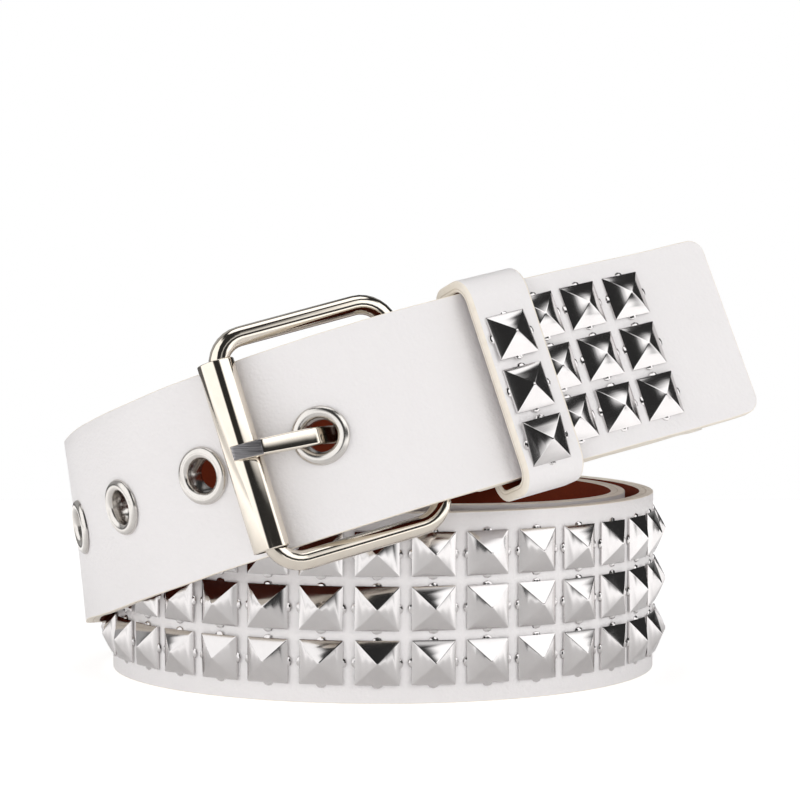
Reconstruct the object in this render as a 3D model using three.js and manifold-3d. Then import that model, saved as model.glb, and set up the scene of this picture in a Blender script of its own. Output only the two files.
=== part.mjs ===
// Studded leather belt, buckled and coiled on a table, millimetres, +Z up.
// The origin is on the table, under the middle of the belt. The buckle faces -Y.
// The winding is worked out round the coil's own middle, and moved there at the end.
import * as THREE from "three";
import { mergeVertices } from "three/addons/utils/BufferGeometryUtils.js";
import Module from "manifold-3d";

const wasm = await Module();
wasm.setup();

// Strap
const strapWidth = 38;
const strapThickness = 3;
const edgeBevel = 0.6;
const tipTurn = 24.7;
const tipCornerRadius = 3;
const coilRadius = 58.85;
const studClearance = 0.35;
const layGap = 0.35;
const crossingHeight = 13;

// Studs
const studSide = 8.88;
const studHeight = 2.8;
const studRim = 0.6;
const columnPitch = 11.18;
const rowPitch = 10.79;
const seatGap = 0.3;
const tipMargin = 22.5;
const tipColumns = 3;
const fieldStart = 229.8;
const fieldEndMargin = 82;

// Eyelets
const tipToEyelet = 96;
const eyeletPitch = 26.4;
const eyeletCount = 4;
const eyeletDiameter = 11.6;
const eyeletBore = 6.2;
const eyeletWall = 0.5;
const eyeletFace = 0.9;
const eyeletBack = 0.6;

// Buckle
const wireDiameter = 3.9;
const barSpacing = 35.5;
const frameInside = 41.3;
const frameCornerRadius = 5.8;
const rollerDiameter = 7.3;
const rollerLength = 37.9;
const rollerBore = 6.3;
const barInRoller = 0.3;
const buckleRaise = 0.75;
const rollerPastEyelet = 14.3;
const heelBeforeEyelet = 20.6;
const heelWidth = 33.6;
const heelTaper = 5;
const barGap = 0.45;
const foldLength = 10;
const prongWidth = 3.3;
const prongThickness = 2.2;
const prongTip = 1.6;
const prongOverhang = 3.3;
const prongBend = 50;
const prongTwist = -3.6;
const prongGap = 0.4;
const slotClearance = 0.45;

// Keeper loop
const keeperWidth = 13.4;
const keeperThickness = 2.3;
const keeperCorner = 1.6;
const keeperBeforeEyelet = 41.3;
const keeperStandOff = 1.95;
const keeperDepth = 9.4;
const keeperDrop = 0.45;
const keeperStudDrop = 2.85;
const keeperStudShift = 0.6;

// One turn is outside the next one by the leather, its studs and the gap to them.
const layer = strapThickness + studHeight + studClearance;
const rise = strapWidth + crossingHeight;

// The winding from the tip to the buckle, seen from above it runs clockwise.
// turn: degrees clockwise from +X. radius: share of coilRadius at the outer face.
// layers: layer steps added to the radius. height: share of rise above lying height.
// lean: degrees that the outer face tilts up.
const winding = [
  { turn: 22.5, radius: 1.2804, layers: 1, height: 1.1157, lean: 16.5 },
  { turn: 28, radius: 1.175, layers: 1, height: 1.0706, lean: 17.9 },
  { turn: 34.8, radius: 1.0969, layers: 1, height: 1.0314, lean: 18.5 },
  { turn: 42.6, radius: 1.0476, layers: 1, height: 0.998, lean: 18.7 },
  { turn: 50.9, radius: 1.0255, layers: 1, height: 0.9647, lean: 18.4 },
  { turn: 59.4, radius: 1.0238, layers: 1, height: 0.9294, lean: 17.6 },
  { turn: 67.8, radius: 1.0391, layers: 1, height: 0.8922, lean: 16.2 },
  { turn: 75.9, radius: 1.0629, layers: 1, height: 0.849, lean: 14.2 },
  { turn: 83.8, radius: 1.0884, layers: 1, height: 0.802, lean: 11.7 },
  { turn: 91.5, radius: 1.1104, layers: 1, height: 0.7471, lean: 8.7 },
  { turn: 99.1, radius: 1.1257, layers: 1, height: 0.6882, lean: 5.1 },
  { turn: 106.6, radius: 1.1291, layers: 1, height: 0.6255, lean: 1.5 },
  { turn: 114, radius: 1.124, layers: 1, height: 0.5627, lean: -2.1 },
  { turn: 121.6, radius: 1.1122, layers: 1, height: 0.502, lean: -5.3 },
  { turn: 129.2, radius: 1.0952, layers: 1, height: 0.4412, lean: -7.7 },
  { turn: 137, radius: 1.0765, layers: 1, height: 0.3863, lean: -9.5 },
  { turn: 145, radius: 1.0578, layers: 1, height: 0.3353, lean: -10 },
  { turn: 153.1, radius: 1.045, layers: 1, height: 0.2863, lean: -9.5 },
  { turn: 161.4, radius: 1.0333, layers: 1, height: 0.2471, lean: -8.3 },
  { turn: 169.9, radius: 1.029, layers: 1, height: 0.2157, lean: -7.2 },
  { turn: 178.4, radius: 1.026, layers: 1, height: 0.1745, lean: -6 },
  { turn: 190, radius: 1.014, layers: 1, height: 0.1431, lean: -4.5 },
  { turn: 205, radius: 1, layers: 1.03, height: 0.1098, lean: -3 },
  { turn: 225, radius: 1, layers: 0.86, height: 0.0745, lean: -1.5 },
  { turn: 250, radius: 1, layers: 0.615, height: 0.0353, lean: -0.5 },
  { turn: 280, radius: 1, layers: 0.445, height: 0.0078, lean: 0 },
  { turn: 310, radius: 1, layers: 0.28, height: 0, lean: 0 },
  { turn: 360, radius: 1, layers: 0, height: 0, lean: 0 },
  { turn: 450, radius: 1, layers: 0, height: 0, lean: 0 },
  { turn: 540, radius: 1, layers: 0, height: 0, lean: 0 },
  { turn: 585, radius: 1, layers: -0.25, height: 0, lean: 0 },
  { turn: 675, radius: 1, layers: -0.75, height: 0, lean: 0 },
  { turn: 720, radius: 1, layers: -1, height: 0, lean: 0 },
  { turn: 765, radius: 1, layers: -1, height: 0.008, lean: 0 },
  { turn: 810, radius: 1, layers: -1, height: 0.024, lean: 0 },
  { turn: 855, radius: 1, layers: -1, height: 0.04, lean: -0.5 },
  { turn: 900, radius: 1, layers: -1.04, height: 0.064, lean: -2 },
  { turn: 930, radius: 1, layers: -1.25, height: 0.175, lean: -4 },
  { turn: 960, radius: 1, layers: -1.45, height: 0.353, lean: -5 },
  { turn: 990, radius: 1, layers: -1.62, height: 0.545, lean: -4 },
  { turn: 1010, radius: 1, layers: -1.72, height: 0.68, lean: -1 },
  { turn: 1030, radius: 1, layers: -1.6, height: 0.79, lean: 4 },
  { turn: 1050, radius: 0.975, layers: -0.8, height: 0.88, lean: 10 },
  { turn: 1080, radius: 1.03, layers: 0, height: 0.98, lean: 15 },
  { turn: 1105, radius: 1.12, layers: 0, height: 1.012, lean: 17.5 },
];
// The buckle end lies against the inside of the tip end along these turns.
const laidTurns = [42.6, 46.8, 50.9, 55.2, 59.4, 67.8, 75.9];

const rad = Math.PI / 180;
const vec = (x, y, z) => new THREE.Vector3(x, y, z);
const along = (p, ...steps) => {
  const q = p.clone();
  for (let i = 0; i < steps.length; i += 2) q.addScaledVector(steps[i], steps[i + 1]);
  return q;
};

// Smooth curve through table rows that never overshoots them.
function smooth(rows, key) {
  const x = rows.map((r) => r.turn);
  const y = rows.map((r) => r[key]);
  const n = x.length;
  const d = [];
  for (let i = 0; i < n - 1; i++) d.push((y[i + 1] - y[i]) / (x[i + 1] - x[i]));
  const m = [d[0]];
  for (let i = 1; i < n - 1; i++) {
    if (d[i - 1] * d[i] <= 0) m.push(0);
    else {
      const a = 2 * (x[i + 1] - x[i]) + (x[i] - x[i - 1]);
      const b = x[i + 1] - x[i] + 2 * (x[i] - x[i - 1]);
      m.push((a + b) / (a / d[i - 1] + b / d[i]));
    }
  }
  m.push(d[n - 2]);
  return (t) => {
    let i = 0;
    while (i < n - 2 && t > x[i + 1]) i++;
    const h = x[i + 1] - x[i];
    const u = (t - x[i]) / h;
    if (u > 1) return y[n - 1] + m[n - 1] * (t - x[n - 1]);
    const u2 = u * u;
    const u3 = u2 * u;
    return (2 * u3 - 3 * u2 + 1) * y[i] + (u3 - 2 * u2 + u) * h * m[i]
      + (3 * u2 - 2 * u3) * y[i + 1] + (u3 - u2) * h * m[i + 1];
  };
}

// A frame on the strap's outer face: along runs to the buckle, up across the
// strap, out off its face.
function frameMaker(rows) {
  const radius = smooth(rows, "r");
  const height = smooth(rows, "z");
  const lean = smooth(rows, "lean");
  const point = (t) => vec(radius(t) * Math.cos(t * rad), -radius(t) * Math.sin(t * rad), height(t));
  return (t) => {
    const p = point(t);
    const tan = point(t + 0.3).sub(point(t - 0.3)).normalize();
    const flat = vec(0, 0, 1).cross(tan).normalize();
    const upright = tan.clone().cross(flat).normalize();
    const e = lean(t) * rad;
    const out = flat.clone().multiplyScalar(Math.cos(e)).addScaledVector(upright, Math.sin(e));
    const up = tan.clone().cross(out).normalize();
    return { p, tan, up, out };
  };
}

const rows = winding.map((w) => ({
  turn: w.turn,
  r: coilRadius * w.radius + layer * w.layers,
  z: strapWidth / 2 + rise * w.height,
  lean: w.lean,
}));
const tipEndFrame = frameMaker(rows);
const lastTurn = 1080;
function lengthMap(frameAt, from, to) {
  const map = [{ t: from, d: 0 }];
  let last = frameAt(from).p;
  for (let t = from + 0.5; t <= to + 1e-9; t += 0.5) {
    const p = frameAt(t).p;
    map.push({ t, d: map[map.length - 1].d + p.distanceTo(last) });
    last = p;
  }
  return map;
}
function lookUp(map, value, key, want) {
  let i = 0;
  while (i < map.length - 2 && map[i + 1][key] < value) i++;
  const k = (value - map[i][key]) / (map[i + 1][key] - map[i][key]);
  return map[i][want] + k * (map[i + 1][want] - map[i][want]);
}
// The tip end is measured first, because the buckle end is laid against it.
const tipMap = lengthMap(tipEndFrame, tipTurn, 200);
const heelTurn = lookUp(tipMap, tipToEyelet - heelBeforeEyelet, "d", "t");
const tipLean = smooth(winding, "lean");
for (const t of [...laidTurns, heelTurn]) {
  const f = tipEndFrame(t);
  const q = along(f.p, f.out, -(strapThickness + layGap));
  rows.push({
    turn: lastTurn - Math.atan2(q.y, q.x) / rad,
    r: Math.hypot(q.x, q.y),
    z: q.z,
    lean: tipLean(t),
  });
}
const frameAtTurn = frameMaker(rows);
const pathEnd = rows[rows.length - 1].turn;
const pathMap = lengthMap(frameAtTurn, tipTurn, pathEnd);
const heelDistance = pathMap[pathMap.length - 1].d;
const at = (d) => frameAtTurn(lookUp(pathMap, d, "d", "t"));

// Buckle place: the roller stands off the strap's face, the heel bar is behind it.
// Local x runs to the heel bar, y across the strap and z off its face.
const rollerFrame = at(tipToEyelet + rollerPastEyelet);
const tipAtHeel = tipEndFrame(heelTurn);
const heelReach = strapThickness + barGap + wireDiameter / 2;
const heelAim = along(tipAtHeel.p, tipAtHeel.out, -(strapThickness + layGap + heelReach));
const across = tipAtHeel.up.clone();
const rollerCentre = along(rollerFrame.p, rollerFrame.out, rollerDiameter / 2 + layGap, across, buckleRaise);
const toHeel = heelAim.clone().sub(rollerCentre);
toHeel.addScaledVector(across, -toHeel.dot(across)).normalize();
const face = toHeel.clone().cross(across).normalize();
const heelX = barInRoller + barSpacing;
const heelBar = along(rollerCentre, toHeel, heelX, across, -buckleRaise);
const buckleMatrix = new THREE.Matrix4().makeBasis(toHeel, across, face).setPosition(rollerCentre);

// The strap's sections. Each has a frame, a half width and, under a stud column, row lines.
const rowCentres = [-rowPitch, 0, rowPitch];
const rowLines = rowCentres.flatMap((w) => [w - studSide / 2, w + studSide / 2]);
const halfWidthAt = (d) => {
  const fromTip = Math.min(d, tipCornerRadius);
  const corner = tipCornerRadius - Math.sqrt(Math.max(0, tipCornerRadius ** 2 - (tipCornerRadius - fromTip) ** 2));
  const taper = Math.min(1, Math.max(0, (heelDistance - d - heelTaper / 2) / heelTaper));
  const narrow = ((strapWidth - heelWidth) / 2) * (1 - taper * taper * (3 - 2 * taper));
  return strapWidth / 2 - corner - narrow;
};
const sections = [];
const addPlain = (from, to, step) => {
  const n = Math.max(1, Math.round((to - from) / step));
  for (let i = 0; i <= n; i++) {
    const d = from + ((to - from) * i) / n;
    sections.push({ ...at(d), half: halfWidthAt(d), stud: false, lines: false });
  }
};
const columns = Math.floor((heelDistance - fieldEndMargin - fieldStart) / columnPitch) + 1;
const columnCentres = Array.from({ length: columns }, (_, i) => fieldStart + i * columnPitch);
for (const share of [0, 0.1, 0.35]) {
  const d = tipCornerRadius * share;
  sections.push({ ...at(d), half: halfWidthAt(d), stud: false, lines: false });
}
addPlain(tipCornerRadius, columnCentres[0] - studSide / 2 - 3, 5.5);
columnCentres.forEach((c) => {
  sections.push({ ...at(c - studSide / 2), half: halfWidthAt(c), stud: true, lines: true });
  sections.push({ ...at(c + studSide / 2), half: halfWidthAt(c), stud: false, lines: true });
});
const fieldEnd = columnCentres[columns - 1] + studSide / 2;
addPlain(fieldEnd + 3, heelDistance - heelTaper * 1.7, 5.5);
addPlain(heelDistance - heelTaper * 1.3, heelDistance - heelTaper * 0.4, 2);

// Round the heel bar and back along the inside.
const endFrame = at(heelDistance);
const wrapSteps = 9;
for (let i = 0; i <= wrapSteps; i++) {
  const a = (Math.PI * i) / wrapSteps;
  const out = along(vec(0, 0, 0), face, Math.cos(a), toHeel, -Math.sin(a));
  const tan = along(vec(0, 0, 0), toHeel, -Math.cos(a), face, -Math.sin(a));
  sections.push({ p: along(heelBar, out, heelReach), tan, up: across.clone(), out, half: heelWidth / 2, stud: false, lines: false });
}
const foldSteps = 3;
for (let i = 1; i <= foldSteps; i++) {
  const x = (foldLength * i) / foldSteps;
  const f = at(heelDistance - x);
  const k = 1 - i / foldSteps;
  const open = layGap + (wireDiameter + 2 * barGap - layGap) * k * k * (3 - 2 * k);
  sections.push({
    p: along(f.p, f.out, -(2 * strapThickness + open)),
    tan: f.tan.clone().negate(),
    up: f.up,
    out: f.out.clone().negate(),
    half: heelWidth / 2,
    stud: false,
    lines: false,
  });
}

// Closed strap surface with one low pyramid for each main stud.
function strapGeometry() {
  const pos = [];
  const index = [];
  const put = (p) => pos.push(p.x, p.y, p.z) / 3 - 1;
  const b = edgeBevel;
  const t = strapThickness;
  const rings = sections.map((s) => {
    const spot = (w, n) => put(along(s.p, s.up, w, s.out, n));
    const h = s.half;
    const ws = [-h + b, ...(s.lines ? rowLines : []), h - b];
    const outer = ws.map((w) => ({ w, i: spot(w, 0) }));
    const rest = [[h, -b], [h, b - t], [h - b, -t], [b - h, -t], [-h, b - t], [-h, -b]].map(([w, n]) => spot(w, n));
    return { outer, loop: [outer[outer.length - 1].i, ...rest, outer[0].i], s };
  });
  for (let k = 0; k < rings.length - 1; k++) {
    const A = rings[k];
    const B = rings[k + 1];
    for (let j = 0; j < A.loop.length - 1; j++) {
      index.push(A.loop[j], A.loop[j + 1], B.loop[j + 1], A.loop[j], B.loop[j + 1], B.loop[j]);
    }
    if (A.s.stud) {
      for (let j = 0; j < A.outer.length - 1; j++) {
        const c = [A.outer[j].i, A.outer[j + 1].i, B.outer[j + 1].i, B.outer[j].i];
        if (j % 2 === 1) {
          const mid = vec(0, 0, 0);
          for (const i of c) mid.add(vec(pos[3 * i], pos[3 * i + 1], pos[3 * i + 2]));
          mid.multiplyScalar(0.25);
          const out = A.s.out.clone().add(B.s.out).normalize();
          const apex = put(along(mid, out, studHeight));
          for (let q = 0; q < 4; q++) index.push(c[q], c[(q + 1) % 4], apex);
        } else index.push(c[0], c[1], c[2], c[0], c[2], c[3]);
      }
    } else {
      let a = 0;
      let c = 0;
      while (a < A.outer.length - 1 || c < B.outer.length - 1) {
        const nextA = a < A.outer.length - 1 ? A.outer[a + 1].w : Infinity;
        const nextB = c < B.outer.length - 1 ? B.outer[c + 1].w : Infinity;
        if (nextA <= nextB) {
          index.push(A.outer[a].i, A.outer[a + 1].i, B.outer[c].i);
          a++;
        } else {
          index.push(A.outer[a].i, B.outer[c + 1].i, B.outer[c].i);
          c++;
        }
      }
    }
  }
  const cap = (ring, flip) => {
    const ids = [...ring.outer.map((o) => o.i), ...ring.loop.slice(1, -1)];
    for (let j = 1; j < ids.length - 1; j++) {
      if (flip) index.push(ids[0], ids[j + 1], ids[j]);
      else index.push(ids[0], ids[j], ids[j + 1]);
    }
  };
  cap(rings[0], true);
  cap(rings[rings.length - 1], false);
  const g = new THREE.BufferGeometry();
  g.setAttribute("position", new THREE.Float32BufferAttribute(pos, 3));
  g.setIndex(index);
  return g;
}

function welded(geometry) {
  const g = geometry.clone();
  for (const name of Object.keys(g.attributes)) if (name !== "position") g.deleteAttribute(name);
  return mergeVertices(g, 1e-4);
}
function toSolid(geometry, matrix) {
  const g = welded(geometry);
  if (matrix) g.applyMatrix4(matrix);
  return new wasm.Manifold(new wasm.Mesh({
    numProp: 3,
    vertProperties: Float32Array.from(g.attributes.position.array),
    triVerts: Uint32Array.from(g.index.array),
  }));
}
function toGeometry(solid) {
  const m = solid.getMesh();
  const g = new THREE.BufferGeometry();
  g.setAttribute("position", new THREE.Float32BufferAttribute(m.vertProperties, m.numProp));
  g.setIndex(new THREE.BufferAttribute(m.triVerts, 1));
  return g;
}
// Local frame with x along the strap to the buckle end, y across it and z off its face.
const seat = (f, lift, w = 0) => new THREE.Matrix4()
  .makeBasis(f.up.clone().cross(f.out).normalize(), f.up, f.out)
  .setPosition(along(f.p, f.out, lift, f.up, w));

// Closed surface through rings of the same number of points.
function ringSurface(rings, closed) {
  const pos = [];
  const index = [];
  const n = rings[0].length;
  for (const r of rings) for (const p of r) pos.push(p.x, p.y, p.z);
  const count = closed ? rings.length : rings.length - 1;
  for (let k = 0; k < count; k++) {
    const a = k * n;
    const b = ((k + 1) % rings.length) * n;
    for (let j = 0; j < n; j++) {
      const i = (j + 1) % n;
      index.push(a + j, a + i, b + i, a + j, b + i, b + j);
    }
  }
  const g = new THREE.BufferGeometry();
  g.setAttribute("position", new THREE.Float32BufferAttribute(pos, 3));
  g.setIndex(index);
  return g;
}

// Strap with its eyelet holes and the prong's slot in the heel fold
const eyeletFrames = Array.from({ length: eyeletCount }, (_, i) => at(tipToEyelet + i * eyeletPitch));
const barrelRadius = eyeletBore / 2 + eyeletWall;
let strapSolid = toSolid(strapGeometry());
for (const f of eyeletFrames) {
  const cutter = new THREE.CylinderGeometry(barrelRadius + seatGap, barrelRadius + seatGap, strapThickness + 1.3, 16);
  cutter.rotateX(Math.PI / 2);
  strapSolid = strapSolid.subtract(toSolid(cutter, seat(f, 0.5 - strapThickness / 2 - 0.15)));
}
const prongHole = along(eyeletFrames[0].p, eyeletFrames[0].out, -strapThickness / 2)
  .applyMatrix4(buckleMatrix.clone().invert());
const prongPlace = new THREE.Matrix4().makeTranslation(prongHole.x, prongHole.y, 0)
  .multiply(new THREE.Matrix4().makeRotationZ(prongTwist * rad))
  .multiply(new THREE.Matrix4().makeTranslation(-prongHole.x, 0, 0));
const slotLow = heelReach + 0.6;
const slotHigh = heelReach + layGap / 2;
const slotLength = heelReach + 6.5;
const slot = new THREE.BoxGeometry(slotLength, prongWidth + 2 * slotClearance, slotLow + slotHigh);
slot.translate(heelX - heelReach - 0.6 + slotLength / 2, 0, (slotHigh - slotLow) / 2);
slot.applyMatrix4(prongPlace);
strapSolid = strapSolid.subtract(toSolid(slot, buckleMatrix));

// Eyelet: barrel through the leather with a rounded face flange and a flat back flange
function eyeletGeometry() {
  const r0 = eyeletBore / 2;
  const r1 = eyeletDiameter / 2;
  const backSeat = -(strapThickness + seatGap * 1.9);
  const profile = [
    [r0, backSeat - eyeletBack], [r1 * 0.93, backSeat - eyeletBack], [r1 * 0.93, backSeat], [barrelRadius, backSeat],
    [barrelRadius, seatGap], [r1, seatGap], [r1 - eyeletFace * 0.8, seatGap + eyeletFace],
    [r0 + eyeletFace * 0.9, seatGap + eyeletFace], [r0, seatGap + eyeletFace * 0.3], [r0, backSeat - eyeletBack],
  ].map(([r, z]) => new THREE.Vector2(r, z));
  const g = new THREE.LatheGeometry(profile, 16);
  g.rotateX(Math.PI / 2);
  return g;
}

// Pyramid stud on a low square rim
function studGeometry() {
  const a = studSide / 2;
  const k = a * 0.94;
  const corners = (h, z) => [vec(-h, -h, z), vec(h, -h, z), vec(h, h, z), vec(-h, h, z)];
  const rings = [corners(a, 0), corners(a, studRim * 0.75), corners(k, studRim)];
  const g = ringSurface(rings, false);
  const pos = Array.from(g.attributes.position.array);
  const index = Array.from(g.index.array);
  pos.push(0, 0, studHeight);
  const top = 12;
  for (let j = 0; j < 4; j++) index.push(8 + j, 8 + ((j + 1) % 4), top);
  index.push(0, 2, 1, 0, 3, 2);
  const out = new THREE.BufferGeometry();
  out.setAttribute("position", new THREE.Float32BufferAttribute(pos, 3));
  out.setIndex(index);
  return out;
}

// Buckle frame: one round wire bent to a rounded rectangle, its front bar inside the roller
function frameGeometry() {
  const r = wireDiameter / 2;
  const y = (frameInside + wireDiameter) / 2;
  const c = frameCornerRadius;
  const corners = [
    { x: heelX - c, y: y - c, from: 0 },
    { x: barInRoller + c, y: y - c, from: 90 },
    { x: barInRoller + c, y: c - y, from: 180 },
    { x: heelX - c, y: c - y, from: 270 },
  ];
  const rings = [];
  const sides = 10;
  for (const q of corners) {
    for (let i = 0; i <= 4; i++) {
      const a = (q.from + i * 22.5) * rad;
      const outward = vec(Math.cos(a), Math.sin(a), 0);
      const centre = vec(q.x + c * outward.x, q.y + c * outward.y, 0);
      rings.push(Array.from({ length: sides }, (_, j) => {
        const b = (2 * Math.PI * j) / sides;
        return along(centre, outward, r * Math.cos(b), vec(0, 0, 1), -r * Math.sin(b));
      }));
    }
  }
  return ringSurface(rings, true);
}

function rollerGeometry() {
  const L = rollerLength / 2;
  const R = rollerDiameter / 2;
  const b = rollerBore / 2;
  const e = 0.3;
  const profile = [[b, -L], [R - e, -L], [R, e - L], [R, L - e], [R - e, L], [b, L], [b, -L]].map(([r, z]) => new THREE.Vector2(r, z));
  return new THREE.LatheGeometry(profile, 24);
}

// Prong: a hoop round the heel bar and a bent tongue through the eyelet onto the roller
function prongGeometry() {
  const hole = vec(prongHole.x, 0, prongHole.z);
  const half = prongThickness / 2;
  const overRoller = rollerDiameter / 2 + prongGap + half;
  const hoopOut = wireDiameter / 2 + prongGap + prongThickness * 0.8;
  const dir = vec(-Math.cos(prongBend * rad), 0, Math.sin(prongBend * rad));
  const reach = strapThickness / 2 + prongThickness / 2;
  const line = [
    vec(hole.x - eyeletBore * 0.7, 0, overRoller + seatGap),
    along(hole, dir, reach),
    along(hole, dir, -reach),
    vec(hole.x + eyeletBore * 0.7, 0, -half / 2),
    vec(heelX - hoopOut, 0, 0),
  ];
  const upper = [];
  const lower = [];
  for (let i = 0; i < line.length; i++) {
    const before = line[Math.max(0, i - 1)];
    const after = line[Math.min(line.length - 1, i + 1)];
    const dir = after.clone().sub(before).normalize();
    upper.push([line[i].x + dir.z * -half, line[i].z + dir.x * half]);
    lower.push([line[i].x - dir.z * -half, line[i].z - dir.x * half]);
  }
  const tipLow = rollerDiameter / 2 + prongGap;
  const shape = new THREE.Shape();
  shape.moveTo(-prongOverhang, tipLow);
  shape.lineTo(-prongOverhang, tipLow + prongTip * 0.75);
  shape.lineTo(prongOverhang * 0.2 + 3.4, tipLow + prongThickness);
  for (const [x, z] of upper) shape.lineTo(x, z);
  for (let i = 1; i < 12; i++) {
    const a = Math.PI - 0.24 - ((2 * Math.PI - 0.48) * i) / 12;
    shape.lineTo(heelX + hoopOut * Math.cos(a), hoopOut * Math.sin(a));
  }
  for (const [x, z] of lower.reverse()) shape.lineTo(x, z);
  shape.closePath();
  const bore = new THREE.Path();
  for (let i = 0; i < 12; i++) {
    const a = (2 * Math.PI * i) / 12;
    const x = heelX + (wireDiameter / 2 + prongGap) * Math.cos(a);
    const z = (wireDiameter / 2 + prongGap) * Math.sin(a);
    if (i === 0) bore.moveTo(x, z);
    else bore.lineTo(x, z);
  }
  bore.closePath();
  shape.holes.push(bore);
  const g = new THREE.ExtrudeGeometry(shape, { depth: prongWidth, bevelEnabled: false, steps: 1 });
  g.translate(0, 0, -prongWidth / 2);
  g.rotateX(Math.PI / 2);
  g.applyMatrix4(prongPlace);
  return g;
}

// Keeper loop: leather band round the tip end and the buckle end
const keeperFrame = at(tipToEyelet - keeperBeforeEyelet);
function roundedRect(path, w, h, r, cy) {
  path.moveTo(-w + r, cy - h);
  path.lineTo(w - r, cy - h);
  path.absarc(w - r, cy - h + r, r, -Math.PI / 2, 0);
  path.lineTo(w, cy + h - r);
  path.absarc(w - r, cy + h - r, r, 0, Math.PI / 2);
  path.lineTo(-w + r, cy + h);
  path.absarc(-w + r, cy + h - r, r, Math.PI / 2, Math.PI);
  path.lineTo(-w, cy - h + r);
  path.absarc(-w + r, cy - h + r, r, Math.PI, Math.PI * 1.5);
  return path;
}
function keeperGeometry() {
  const w = strapWidth / 2 + layGap + keeperDrop;
  const h = keeperDepth / 2;
  const cy = keeperStandOff - h;
  const k = keeperThickness;
  const shape = roundedRect(new THREE.Shape(), w + k, h + k, keeperCorner + k, cy);
  shape.holes.push(roundedRect(new THREE.Path(), w, h, keeperCorner, cy));
  const g = new THREE.ExtrudeGeometry(shape, { depth: keeperWidth, bevelEnabled: false, steps: 1, curveSegments: 5 });
  g.translate(-keeperDrop, 0, -keeperWidth / 2);
  // shape x runs across the strap, shape y off its face, the depth along it
  g.applyMatrix4(new THREE.Matrix4().makeBasis(vec(0, 1, 0), vec(0, 0, 1), vec(1, 0, 0)));
  return g;
}

const leather = new THREE.MeshStandardMaterial({ color: 0xe8e6e5, roughness: 0.5, metalness: 0 });
const chrome = new THREE.MeshStandardMaterial({ color: 0xc9c9cc, roughness: 0.15, metalness: 1 });
const nickel = new THREE.MeshStandardMaterial({ color: 0xd8d2c8, roughness: 0.12, metalness: 1 });

const group = new THREE.Group();
function add(name, geometry, material, matrix) {
  const mesh = new THREE.Mesh(welded(geometry), material);
  mesh.name = name;
  if (matrix) matrix.decompose(mesh.position, mesh.quaternion, mesh.scale);
  group.add(mesh);
  return mesh;
}

add("strap", toGeometry(strapSolid), leather);
eyeletFrames.forEach((f, i) => add(`eyelet_${i + 1}`, eyeletGeometry(), chrome, seat(f, 0)));
for (let c = 0; c < tipColumns; c++) {
  rowCentres.forEach((w, r) => {
    const f = at(tipMargin + c * columnPitch);
    add(`tip_stud_${c + 1}_${r + 1}`, studGeometry(), chrome, seat(f, seatGap, w));
  });
}
add("keeper", keeperGeometry(), leather, seat(keeperFrame, 0));
rowCentres.forEach((w, r) => {
  const place = seat(keeperFrame, keeperStandOff + keeperThickness + seatGap, w - keeperStudDrop);
  add(`keeper_stud_${r + 1}`, studGeometry(), chrome, place.multiply(new THREE.Matrix4().makeTranslation(-keeperStudShift, 0, 0)));
});
add("buckle_frame", frameGeometry(), nickel, buckleMatrix);
add("roller", rollerGeometry(), nickel, buckleMatrix);
add("prong", prongGeometry(), nickel, buckleMatrix);

// The origin goes to the table, under the middle of the whole belt.
const bounds = new THREE.Box3().setFromObject(group, true);
const origin = bounds.getCenter(vec(0, 0, 0)).setZ(bounds.min.z);
for (const mesh of group.children) mesh.position.sub(origin);

export default group;
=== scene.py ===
# %% [markdown]
# # White studded belt
# The belt is buckled and wound into a standing coil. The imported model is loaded
# first and stays fixed. Every new piece below is made where that model says.

# %% Load the fixed model
import math

import bmesh
import bpy
import numpy as np
from mathutils import Matrix, Vector


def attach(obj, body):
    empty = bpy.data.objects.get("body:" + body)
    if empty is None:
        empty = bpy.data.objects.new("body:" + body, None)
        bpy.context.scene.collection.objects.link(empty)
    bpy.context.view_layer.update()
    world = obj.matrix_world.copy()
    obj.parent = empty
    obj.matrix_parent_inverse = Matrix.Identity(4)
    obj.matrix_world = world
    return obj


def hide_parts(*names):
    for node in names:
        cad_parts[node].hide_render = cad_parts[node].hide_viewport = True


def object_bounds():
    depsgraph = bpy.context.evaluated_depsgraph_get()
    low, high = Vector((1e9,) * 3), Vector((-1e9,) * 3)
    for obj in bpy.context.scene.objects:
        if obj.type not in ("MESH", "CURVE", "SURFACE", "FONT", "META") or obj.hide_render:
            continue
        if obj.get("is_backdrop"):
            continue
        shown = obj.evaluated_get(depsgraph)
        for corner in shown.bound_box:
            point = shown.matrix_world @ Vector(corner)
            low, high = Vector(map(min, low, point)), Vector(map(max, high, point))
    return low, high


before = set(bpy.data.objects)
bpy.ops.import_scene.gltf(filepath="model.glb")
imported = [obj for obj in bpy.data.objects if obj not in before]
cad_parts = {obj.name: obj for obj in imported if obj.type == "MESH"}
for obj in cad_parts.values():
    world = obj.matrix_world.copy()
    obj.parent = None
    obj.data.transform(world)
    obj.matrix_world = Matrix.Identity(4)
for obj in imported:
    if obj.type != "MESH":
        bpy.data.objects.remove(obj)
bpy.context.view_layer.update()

MM = 0.001

# %% [markdown]
# ## Camera
# The photograph was taken from a little above the table with a long lens. A long
# lens keeps the coil's far side nearly as large as its near side. The lens and
# the place were worked out from the coil's outline, so they are plain numbers.

# %% Camera
focal_pixels, picture_pixels, sensor_width, pitch_down = 2762.07, 800, 36, 2.7742
camera_data = bpy.data.cameras.new("camera")
camera_data.sensor_width = sensor_width
camera_data.lens = focal_pixels / picture_pixels * sensor_width
camera_data.clip_start = 0.05
camera_data.clip_end = 20
camera = bpy.data.objects.new("camera", camera_data)
bpy.context.scene.collection.objects.link(camera)
camera.location = (-0.00030, -0.59563, 0.08664)
camera.rotation_euler = (math.radians(90 - pitch_down), 0, 0)
bpy.context.scene.camera = camera
print("lens", round(camera_data.lens, 1), "mm")

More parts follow.
